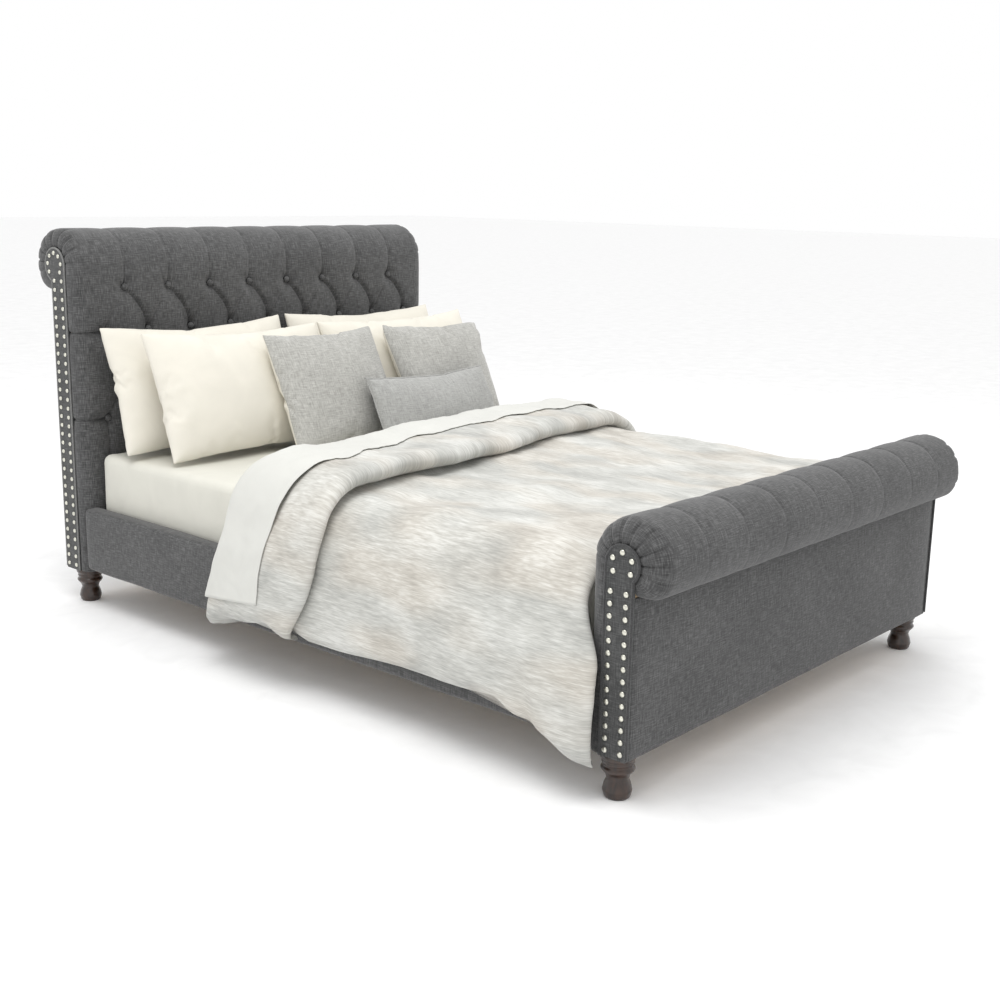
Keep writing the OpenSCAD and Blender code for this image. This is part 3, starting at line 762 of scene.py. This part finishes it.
# %% Legs
def turned_leg(node):
    low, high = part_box(node)
    tall, radius = high.z - low.z, (high.x - low.x) / 2
    stations = [(0.000, 0.66), (0.025, 0.74), (0.16, 0.84), (0.30, 0.76), (0.42, 0.63), (0.52, 0.70), (0.60, 0.88),
                (0.635, 0.95), (0.665, 0.97), (0.70, 0.93), (0.722, 0.86), (0.745, 0.84), (0.765, 0.90), (0.80, 0.93),
                (0.83, 0.90), (0.85, 0.88), (0.88, 0.96), (0.92, 1.0), (0.97, 1.0), (1.0, 0.98)]
    share = np.array(stations)
    level = np.linspace(0, 1, 60)
    width = np.interp(level, share[:, 0], share[:, 1])
    width = np.convolve(np.pad(width, 1, mode="edge"), (0.25, 0.5, 0.25), mode="valid")
    turn = np.linspace(0, 2 * math.pi, 48, endpoint=False)
    centre = (low + high) / 2
    points = [(centre.x + radius * w * math.cos(t), centre.y + radius * w * math.sin(t), low.z + tall * z)
              for z, w in zip(level, width) for t in turn]
    faces = grid_faces(len(level), 48, wrap=True)
    last = (len(level) - 1) * 48
    faces += [list(range(48))[::-1], list(range(last, last + 48))]
    made = mesh_object(node + "_turned", points, faces)
    dress(made, "bed_frame", turned_wood, [node])


for corner in ("head_left", "head_right", "foot_left", "foot_right"):
    turned_leg("leg_" + corner)

# %% [markdown]
# ## Timber and hardware
# These CAD parts already have their true shape. Each keeps its own mesh and
# gets a finish, with grain that runs along the wooden pieces, and most get a
# hair of bevel so their edges catch the light.

# %% Finishes for the parts that stay as they are
def keep(node, finish, bevel=0.0):
    shown = nodes[node]
    shown.data.materials.clear()
    shown.data.materials.append(finish)
    if not shown.data.uv_layers.get("cloth"):
        lay_cloth(shown)
    if bevel:
        edge = shown.modifiers.new("worn_edge", "BEVEL")
        edge.width, edge.segments, edge.limit_method = bevel, 2, "ANGLE"


for board in ("headboard", "footboard"):
    keep(f"{board}_frame", pine, 0.002)
    keep(f"{board}_panel", plywood)
    keep(f"{board}_roll_tube", cardboard)
    for side in ("left", "right"):
        keep(f"{board}_end_panel_{side}", panel_linen)
for side in ("left", "right"):
    keep(f"side_rail_{side}", pine_along, 0.002)
    keep(f"slat_ledge_{side}", pine_along, 0.0015)
for node in sorted(nodes):
    if node.startswith("slat_") and "ledge" not in node:
        keep(node, pine, 0.002)
keep("center_beam", pine_along, 0.002)
for end in ("head", "foot"):
    keep(f"center_leg_{end}", pine, 0.002)
    keep(f"levelling_foot_{end}", black_plastic, 0.001)
keep("corner_brackets", steel, 0.0005)
keep("leg_bolts", steel, 0.0005)

# %% [markdown]
# ## Mattress and fitted sheet
# A sprung mattress is a soft block with a piped edge; here it is drawn as the
# soft block alone. The fitted sheet is thin cotton pulled tight over it and
# tucked under, so it shows the block's shape with a few faint pulls toward the corners.

# %% Mattress
mattress_low, mattress_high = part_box("mattress")
made = soft_box("mattress_block", mattress_low, mattress_high, 0.022, 0.05)
dress(made, "mattress", ticking, ["mattress"])

# %% Fitted sheet
sheet_low, sheet_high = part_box("fitted_sheet")


def sheet_pull(points, normal):
    corner_x = np.clip((abs(points[:, 0]) - 0.38) / 0.3, 0, 1)
    corner_y = np.clip((abs(points[:, 1] - (sheet_low.y + sheet_high.y) / 2) - 0.6) / 0.35, 0, 1)
    fan = np.sin((abs(points[:, 0]) - abs(points[:, 1]) * 0.7) * 60) * 0.0012 * corner_x * corner_y
    return fan + ripple(points, 0.22, 3) * 0.004 + 0.0005


made = soft_box("fitted_sheet_cloth", sheet_low, sheet_high, 0.024, 0.02, sheet_pull)
cut = bmesh.new()
cut.from_mesh(made.data)
bmesh.ops.delete(cut, geom=[f for f in cut.faces if f.normal.z < -0.6], context="FACES")
cut.to_mesh(made.data)
cut.free()
hem = made.modifiers.new("hem", "SOLIDIFY")
hem.thickness, hem.offset = 0.0016, -1
dress(made, "mattress", fitted_cotton, ["fitted_sheet"])

# %% [markdown]
# ## Pillows and cushions
# A pillow is two flat panels sewn round the edge and filled. Cloth simulation
# finds its shape: pressure pushes the panels apart, the seam pulls in between
# the corners, and the spare cloth wrinkles beside the seam. The blown-up
# pillow is then leant back and its lower edge is flattened, as weight does.

# %% Two panels sewn together
def sewn_panels(name, wide, tall, step, seed):
    """A closed bag of two panels that share their edge, almost flat, and the grid place of each point."""
    nx, nz = int(wide / step) + 1, int(tall / step) + 1
    x, z = np.meshgrid(np.linspace(-wide / 2, wide / 2, nx), np.linspace(0, tall, nz), indexing="ij")
    start = 0.016 * np.sqrt(np.clip((1 - (2 * x / wide) ** 2) * (1 - (2 * z / tall - 1) ** 2), 0, 1))
    place = np.stack(np.meshgrid(np.arange(nx), np.arange(nz), indexing="ij"), -1)
    index = np.arange(nx * nz).reshape(nx, nz)
    edge = np.ones((nx, nz), bool)
    edge[1:-1, 1:-1] = False
    back = np.where(edge, index, nx * nz - 1 + np.cumsum(~edge.ravel()).reshape(nx, nz))
    wobble = ripple(np.stack([x, z, z * 0], -1), 0.08, seed).reshape(nx, nz) * 0.004
    front_at = np.stack([x, -start + wobble, z], -1).reshape(-1, 3)
    back_at = np.stack([x, start + wobble, z], -1)[~edge]
    faces = []
    for panel in (index, back[:, ::-1]):
        corners = (panel[:-1, :-1], panel[1:, :-1], panel[1:, 1:], panel[:-1, 1:])
        faces += np.stack(corners, -1).reshape(-1, 4).tolist()
    made = mesh_object(name, np.concatenate([front_at, back_at]), faces)
    return made, np.concatenate([place.reshape(-1, 2), place[~edge]])


def fill(made, pressure=9.0, frames=26):
    """Blows the bag up with cloth simulation and keeps the result."""
    cloth = made.modifiers.new("filling", "CLOTH")
    settings = cloth.settings
    settings.quality = 6
    settings.mass = 0.15
    settings.tension_stiffness = settings.compression_stiffness = 18
    settings.shear_stiffness = 4
    settings.bending_stiffness = 0.25
    settings.air_damping = 4
    settings.use_pressure = True
    settings.uniform_pressure_force = pressure
    settings.effector_weights.gravity = 0
    cloth.point_cache.frame_start, cloth.point_cache.frame_end = 1, frames
    scene = bpy.context.scene
    scene.frame_start, scene.frame_end = 1, frames
    for frame_number in range(1, frames + 1):
        scene.frame_set(frame_number)
    settled = made.evaluated_get(bpy.context.evaluated_depsgraph_get()).to_mesh()
    co = np.array([v.co for v in settled.vertices])
    made.modifiers.clear()
    set_points(made, co)
    scene.frame_set(1)


def straighten(co, place, share=0.72):
    """Brings the seam's hollow sides most of the way back to straight, and the panels with them."""
    nx, nz = place.max(0) + 1
    grid = co[:nx * nz].reshape(nx, nz, 3).copy()
    u, v = place[:, 0] / (nx - 1), place[:, 1] / (nz - 1)

    def hollow(line):
        t = np.linspace(0, 1, len(line))
        return line - (line[0] * (1 - t) + line[-1] * t)
    left, right = hollow(grid[0, :, 0])[place[:, 1]], hollow(grid[-1, :, 0])[place[:, 1]]
    low, high = hollow(grid[:, 0, 2])[place[:, 0]], hollow(grid[:, -1, 2])[place[:, 0]]
    co[:, 0] -= share * (left * (1 - u) + right * u)
    co[:, 2] -= share * (low * (1 - v) + high * v)


def filled_bag(name, wide, tall, thick, seed, step=0.0115):
    """A filled pillow, standing on its long edge and cut to its CAD size."""
    made, place = sewn_panels(name, wide, tall, step, seed)
    co = points_of(made)
    fill(made)
    co = points_of(made)
    front_count = (place.max(0) + 1).prod()
    if co[:front_count, 1].mean() > co[front_count:, 1].mean():
        co[:, 1] *= -1
    straighten(co, place)
    low, high = co.min(0), co.max(0)
    co = (co - (low + high) / 2) / (high - low) * np.array([wide, thick, tall]) + np.array([0, 0, tall / 2])
    co[:, 1] *= np.where(co[:, 1] < 0, 0.85, 1.15)
    set_points(made, co)
    face_outward(made)
    return made

# %% Lean a pillow back and rest it on the bed
def lean_back(made, node, angle, seed, press=0.016):
    """Turns a standing pillow back by the angle, fits it to its CAD box and flattens its foot."""
    low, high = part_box(node)
    co = points_of(made)
    tall, wide = np.ptp(co[:, 2]), np.ptp(co[:, 0])
    share = co[:, 2] / tall
    co[:, 1] *= 1.10 - 0.22 * share
    co[:, 1] += 0.020 * (share - 0.5) ** 2 + 0.010 * (2 * co[:, 0] / wide) ** 2 * (0.4 + share)
    co[:, 2] -= 0.012 * np.cos(math.pi * co[:, 0] / wide) * share
    co += np.stack([ripple(co, 0.20, seed + k) for k in range(3)], 1) * np.array([0.004, 0.007, 0.005])
    tip = math.radians(angle)
    back, up = co[:, 1].copy(), co[:, 2].copy()
    co[:, 1] = back * math.cos(tip) + up * math.sin(tip)
    co[:, 2] = up * math.cos(tip) - back * math.sin(tip)
    middle = (np.array(low) + np.array(high)) / 2
    co[:, :2] += middle[:2] - (co[:, :2].min(0) + co[:, :2].max(0)) / 2
    co[:, 2] += high.z - co[:, 2].max()
    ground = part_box("fitted_sheet")[1].z + 0.005
    over = co[:, 2] - ground
    co[:, 2] = ground + (over + np.sqrt(over ** 2 + press ** 2)) / 2
    set_points(made, co)
    smooth = made.modifiers.new("smooth", "SUBSURF")
    smooth.levels = smooth.render_levels = 1
    return made


# %% Pillows
lean_rear, lean_front, lean_square, lean_lumbar = 16, 21, 25, 24
pillow_wide, pillow_tall, pillow_thick = 0.685, 0.412, 0.145
for seed, (node, angle) in enumerate((("pillow_left_rear", lean_rear), ("pillow_left_front", lean_front),
                                      ("pillow_right_rear", lean_rear), ("pillow_right_front", lean_front))):
    made = filled_bag(node + "_case", pillow_wide, pillow_tall, pillow_thick, seed + 2)
    lean_back(made, node, angle, seed * 5 + 1)
    dress(made, node, cream_cotton, [node])

# %% Square cushions with a cream back
def two_tone(made, back_finish):
    """The back panel is cut from a second cloth. Its faces are the second half of the bag's."""
    made.data.materials.append(back_finish)
    count = len(made.data.polygons)
    made.data.polygons.foreach_set("material_index", (np.arange(count) >= count // 2).astype(np.int32))


square_wide, square_tall, square_thick = 0.465, 0.405, 0.125
for seed, side in enumerate(("left", "right")):
    node = f"cushion_{side}"
    made = filled_bag(node + "_cover", square_wide, square_tall, square_thick, seed + 11)
    lean_back(made, node, lean_square, seed * 7 + 3)
    dress(made, node, cushion_linen, [node])
    two_tone(made, cream_cotton)

# %% Lumbar cushion with a black back and a self-covered piping
lumbar_wide, lumbar_tall, lumbar_thick = 0.535, 0.265, 0.100
bag_step = 0.0115
made = filled_bag("lumbar_cushion_cover", lumbar_wide, lumbar_tall, lumbar_thick, 21, bag_step)
lean_back(made, "lumbar_cushion", lean_lumbar, 9)
dress(made, "lumbar_cushion", lumbar_linen, ["lumbar_cushion"])
two_tone(made, piping_black)
nx, nz = int(lumbar_wide / bag_step) + 1, int(lumbar_tall / bag_step) + 1
index = np.arange(nx * nz).reshape(nx, nz)
order = np.concatenate([index[:, 0], index[-1, 1:], index[-2::-1, -1], index[0, -2::-1], index[1:3, 0]])
made = tube("lumbar_piping", points_of(made)[order] + np.array([0, 0.001, 0]), 0.0030, sides=8)
dress(made, "lumbar_cushion", lumbar_linen)

# %% [markdown]
# ## The duvet and the turned-down sheet
# Bedding follows the bed under it: flat over the mattress, round its edge,
# and down past the rail. So one line across the bed is drawn first, and every
# layer is a distance out from that line. The duvet's head end folds back over
# itself, and the top sheet folds back over both. Each layer is drawn as a
# loop from foot to head and swept across the bed, which keeps the layers
# from cutting into each other however much they wave.

# %% The line across the bed
rail_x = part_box("rail_cover_right")[1].x
bed_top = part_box("fitted_sheet")[1].z + 0.004
mattress_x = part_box("fitted_sheet")[1].x
bedding_line = np.array([
    (0, bed_top), (0.30, bed_top), (mattress_x - 0.10, bed_top), (mattress_x - 0.03, bed_top - 0.002),
    (mattress_x + 0.010, bed_top - 0.020), (mattress_x + 0.040, bed_top - 0.070), (rail_x - 0.003, 0.355),
    (rail_x + 0.007, 0.295), (rail_x + 0.009, 0.22), (rail_x + 0.010, 0.14), (rail_x + 0.010, 0.05)])


def smooth_line(corners, step=0.004, reach=11):
    """The corners' line at equal steps, with its bends rounded."""
    along = np.concatenate([[0], np.cumsum(np.linalg.norm(np.diff(corners, axis=0), axis=1))])
    at = np.arange(0, along[-1], step)
    line = np.stack([np.interp(at, along, corners[:, k]) for k in (0, 1)], 1)
    for _ in range(2):
        line = np.stack([np.convolve(np.pad(line[:, k], reach // 2, mode="reflect", reflect_type="odd"),
                                     np.ones(reach) / reach, mode="valid") for k in (0, 1)], 1)
    return line


across_line = smooth_line(bedding_line)
across_at = np.concatenate([[0], np.cumsum(np.linalg.norm(np.diff(across_line, axis=0), axis=1))])
slope = np.gradient(across_line, axis=0)
slope /= np.linalg.norm(slope, axis=1)[:, None]
away_line = np.stack([-slope[:, 1], slope[:, 0]], 1)
hang_from = 0.42


def hang_waves(y, side):
    """How far the hanging cloth stands out from the rail, along the bed."""
    shift = 0.0 if side < 0 else 0.23
    foot_fold = ease(-0.735, -0.785, y + shift * 0.2)
    gentle = 0.0045 * np.sin((y + shift) * 7.5 + 0.6) + 0.0025 * np.sin((y - shift) * 17)
    return gentle + foot_fold * (0.018 - 0.08 * np.clip(-0.86 - y, 0, 1))


def on_bed(across, y, out):
    """Places cloth points given as distance across the bed from its middle, place along it, and distance out."""
    side, a = np.sign(across), np.abs(across)
    x, z = (np.interp(a, across_at, across_line[:, k]) for k in (0, 1))
    nx, nz = (np.interp(a, across_at, away_line[:, k]) for k in (0, 1))
    hang = ease(hang_from, 0.12, z)
    lean = ease(0.50, 0.15, z) * 0.12 * np.clip(-0.70 - y, 0, 0.12) / 0.12
    wave = np.where(side < 0, hang_waves(y + lean, -1), hang_waves(y + lean, 1)) * hang
    return np.stack([side * (x + nx * out + wave), y, z + nz * out], -1)


# %% [markdown]
# The cloth was cut square but lies a little askew: its head end slants, and
# the hanging sides lag toward the head. Each edge is a few points across the
# bed, from the left hem to the right one, joined smoothly.

# %% Where each edge lies
def across_bed(*stops):
    at, y = np.array(stops).T
    def edge(across):
        near = [np.interp(across + d, at, y) for d in np.linspace(-0.09, 0.09, 7)]
        return np.mean(near, axis=0)
    return edge


fold_y = across_bed((-1.05, 0.30), (-0.97, 0.29), (-0.85, 0.23), (-0.70, 0.21), (-0.50, 0.22), (-0.15, 0.27),
                    (0.40, 0.28), (0.75, 0.29), (1.05, 0.36))
sheet_edge_y = across_bed((-1.0, 0.03), (-0.84, 0.02), (-0.72, -0.015), (-0.63, -0.055), (-0.50, 0.0), (-0.20, 0.085),
                          (0.30, 0.093), (0.60, 0.085), (1.0, 0.13))
flap_edge_y = across_bed((-1.05, -0.02), (-1.02, -0.045), (-0.93, -0.13), (-0.82, -0.168), (-0.63, -0.170),
                         (-0.45, -0.145), (-0.20, -0.137), (0.02, -0.114), (0.21, -0.072), (0.63, -0.04),
                         (0.85, -0.06), (1.04, 0.03))


def hem_reach(hem_z):
    """Distance across the bed, from its middle, at which the hanging cloth reaches a height."""
    return np.interp(-hem_z, -across_line[:, 1], across_at)


def hem_height(*stops):
    """Height of a hem along the bed, from (place, height) pairs joined smoothly."""
    at, z = np.array(sorted(stops)).T

    def height(y):
        return np.mean([np.interp(y + d, at, z) for d in np.linspace(-0.012, 0.012, 5)], axis=0)
    return height


duvet_hem = hem_height((-0.985, 0.083), (-0.94, 0.110), (-0.90, 0.133), (-0.84, 0.142), (-0.805, 0.135), (-0.785, 0.155),
                       (-0.765, 0.173), (-0.72, 0.165), (-0.58, 0.158), (-0.37, 0.154), (-0.22, 0.140), (0.3, 0.132))
flap_hem = hem_height((-0.06, 0.135), (-0.02, 0.143), (0.01, 0.168), (0.10, 0.150), (0.17, 0.146), (0.222, 0.130),
                      (0.245, 0.104), (0.262, 0.108), (0.33, 0.112))


def sheet_hem(y):
    return 0.225 - 0.12 * np.clip(y - 0.03, 0, 0.26)


# %% How thick the filling is
def thin_out(share):
    """1 over the bed, less down the sides and almost 0 at the hems. share is 0 mid-bed and 1 at the hem."""
    sides = 1 - 0.42 * ease(0.60, 0.74, share)
    hem = np.sqrt(np.clip(1 - np.clip((share - 0.965) / 0.035, 0, 1) ** 2, 0, 1)) * 0.86 + 0.14
    return sides * hem


def duvet_rumple(across, y):
    """Unevenness of the filling: broad hollows, soft dents and creases that run along the bed."""
    flat = np.stack([across, y, 0 * y], -1).reshape(-1, 3)
    broad = ripple(flat, 0.30, 4) * 0.020
    dents = ripple(flat * (1.2, 1, 1), 0.12, 9) * 0.009
    fine = ripple(flat * (2.0, 1, 1), 0.045, 14) * 0.0022
    return (broad + dents + fine).reshape(across.shape)


duvet_t, flap_t, layer_gap = 0.055, 0.055, 0.002
foot_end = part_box("duvet")[0].y + 0.003


def span(a, b, count):
    t = np.linspace(0, 1, count)
    return a[..., None] * (1 - t) + b[..., None] * t


def duvet_mesh():
    share = np.linspace(-1, 1, 231)
    nominal = share * 1.03
    fold, flap = fold_y(nominal), flap_edge_y(nominal)
    full = thin_out(np.abs(share))
    low_t, top_t = duvet_t * full, flap_t * full
    tall = low_t + layer_gap + top_t
    tail = ease(0.66, 0.80, np.abs(share)) * 0.060
    foot_y = foot_end - tail
    zero = 0 * share

    def arc(centre_y, centre_h, radius_y, radius_h, start, stop, count):
        turn = np.linspace(start, stop, count)
        return centre_y[:, None] + radius_y[:, None] * np.cos(turn), centre_h[:, None] + radius_h[:, None] * np.sin(turn)

    def flat_run(y0, y1, h0, h1, count):
        return span(y0, y1, count)[:, 1:-1], span(h0, h1, count)[:, 1:-1]

    half_pi = math.pi / 2
    curl_y = tall * 0.62
    parts = [
        flat_run(foot_y + low_t / 2, fold - curl_y, zero, zero, 26),
        arc(fold - curl_y, tall / 2, curl_y, tall / 2, -half_pi, half_pi, 17),
        flat_run(fold - curl_y, flap + top_t * 0.9, tall, tall, 52),
        arc(flap + top_t * 0.9, tall - top_t / 2, top_t * 0.9, top_t / 2, half_pi, 3 * half_pi, 13),
        flat_run(flap + top_t * 0.9, fold - curl_y * 1.05, low_t + layer_gap, low_t + layer_gap, 20),
        arc(fold - curl_y * 1.05, low_t + layer_gap / 2, layer_gap + zero, layer_gap / 2 + zero, half_pi, -half_pi, 4),
        flat_run(fold - curl_y * 1.05, flap + top_t * 0.9, low_t, low_t, 20),
        flat_run(flap + top_t * 0.85, foot_y + low_t * 0.8, low_t, low_t, 112),
        arc(foot_y + low_t * 0.8, low_t / 2, low_t * 0.8, low_t / 2, half_pi, 3 * half_pi, 11)]
    y = np.concatenate([p[0] for p in parts], 1)
    out = np.concatenate([p[1] for p in parts], 1)
    ends = np.cumsum([0] + [p[0].shape[1] for p in parts])
    layer = np.zeros(ends[-1])
    layer[ends[1] + 6:ends[5]] = 1
    puff = np.zeros(ends[-1])
    puff[ends[1] + 4:ends[3] + 8] = 1
    puff[ends[7]:ends[8] + 6] = 1
    puff[ends[1]:ends[1] + 5] = np.linspace(0, 1, 5)
    puff[ends[8] + 5:ends[9]] = np.linspace(1, 0, ends[9] - ends[8] - 5)
    puff[ends[3] + 7:ends[3] + 13] = np.linspace(1, 0, 6)
    under_flap = y > flap[:, None] - 0.02
    side_hem = np.where(layer[None, :] > 0, flap_hem(y), np.where(under_flap, flap_hem(y) + 0.02, duvet_hem(y)))
    smooth_hem = np.stack([np.convolve(np.pad(row, 3, mode="wrap"), np.ones(7) / 7, mode="valid") for row in side_hem])
    across = share[:, None] * hem_reach(smooth_hem)
    lift = duvet_rumple(across, y + layer[None, :] * 3.0) * full[:, None] * puff[None, :]
    from_hem = (1 - np.abs(share))[:, None] * 1.03
    stitch = -0.0022 * np.exp(-((from_hem - 0.020) / 0.004) ** 2) * puff[None, :]
    points = on_bed(across, y, out + lift + stitch)
    rows, cols = y.shape
    faces = grid_faces(rows, cols, wrap=True)
    faces += [list(range(cols))[::-1], list(range((rows - 1) * cols, rows * cols))]
    made = mesh_object("duvet_with_turned_down_end", points, faces)
    lay_cloth(made, np.stack([across, y + layer[None, :] * 1.7], -1))
    return made, fold, flap


duvet_made, fold_at, flap_at = duvet_mesh()
dress(duvet_made, "duvet", duvet_cotton, ["duvet"])

# %% The top sheet, folded over the duvet's head end
def top_sheet():
    share = np.linspace(-1, 1, 221)
    nominal = share * 0.98
    fold, edge = fold_y(nominal), sheet_edge_y(nominal)
    full = thin_out(np.abs(share) * 0.900)
    tall = (duvet_t + flap_t) * full + layer_gap
    clear, thin = 0.0016, 0.0012
    curl_y = tall * 0.62

    def layer_run(lift):
        top = span(edge, fold - curl_y, 46)
        turn = np.linspace(math.pi / 2, -math.pi / 2, 17)[1:]
        round_y = (fold - curl_y)[:, None] + (curl_y + lift)[:, None] * np.cos(turn)
        round_h = (tall / 2)[:, None] + (tall / 2 + lift)[:, None] * np.sin(turn)
        return np.concatenate([top, round_y], 1), np.concatenate([np.repeat((tall + lift)[:, None], 46, 1), round_h], 1)

    outer_y, outer_h = layer_run(clear + thin + 0 * share)
    inner_y, inner_h = layer_run(clear + 0 * share)
    y = np.concatenate([outer_y, inner_y[:, ::-1]], 1)
    out = np.concatenate([outer_h, inner_h[:, ::-1]], 1)
    count = outer_y.shape[1]
    weight = np.ones(count)
    weight[-12:] = np.linspace(1, 0, 12)
    weight = np.concatenate([weight, weight[::-1]])
    across = share[:, None] * hem_reach(sheet_hem(y))
    lift = duvet_rumple(across, y + 3.0) * full[:, None] * weight[None, :]
    flat = np.stack([across, y, 0 * y], -1).reshape(-1, 3)
    crease = np.abs(ripple(flat * (1.4, 1, 1), 0.055, 31)).reshape(y.shape) * 0.0025
    points = on_bed(across, y, out + lift + crease + 0.0008)
    rows, cols = y.shape
    faces = grid_faces(rows, cols, wrap=True)
    faces += [list(range(cols))[::-1], list(range((rows - 1) * cols, rows * cols))]
    made = mesh_object("top_sheet_turned_down", points, faces)
    lay_cloth(made, np.stack([across, y], -1))
    wide = 2 * float(hem_reach(0.2))
    run = np.hypot(np.diff(outer_y, axis=1), np.diff(outer_h, axis=1)).sum(1).mean()
    return made, (wide, float(run))


sheet_made, sheet_flat = top_sheet()
dress(sheet_made, "duvet", sheet_cotton, ["flat_sheet"])
print("turned-down sheet, flat:", [round(v, 2) for v in sheet_flat])
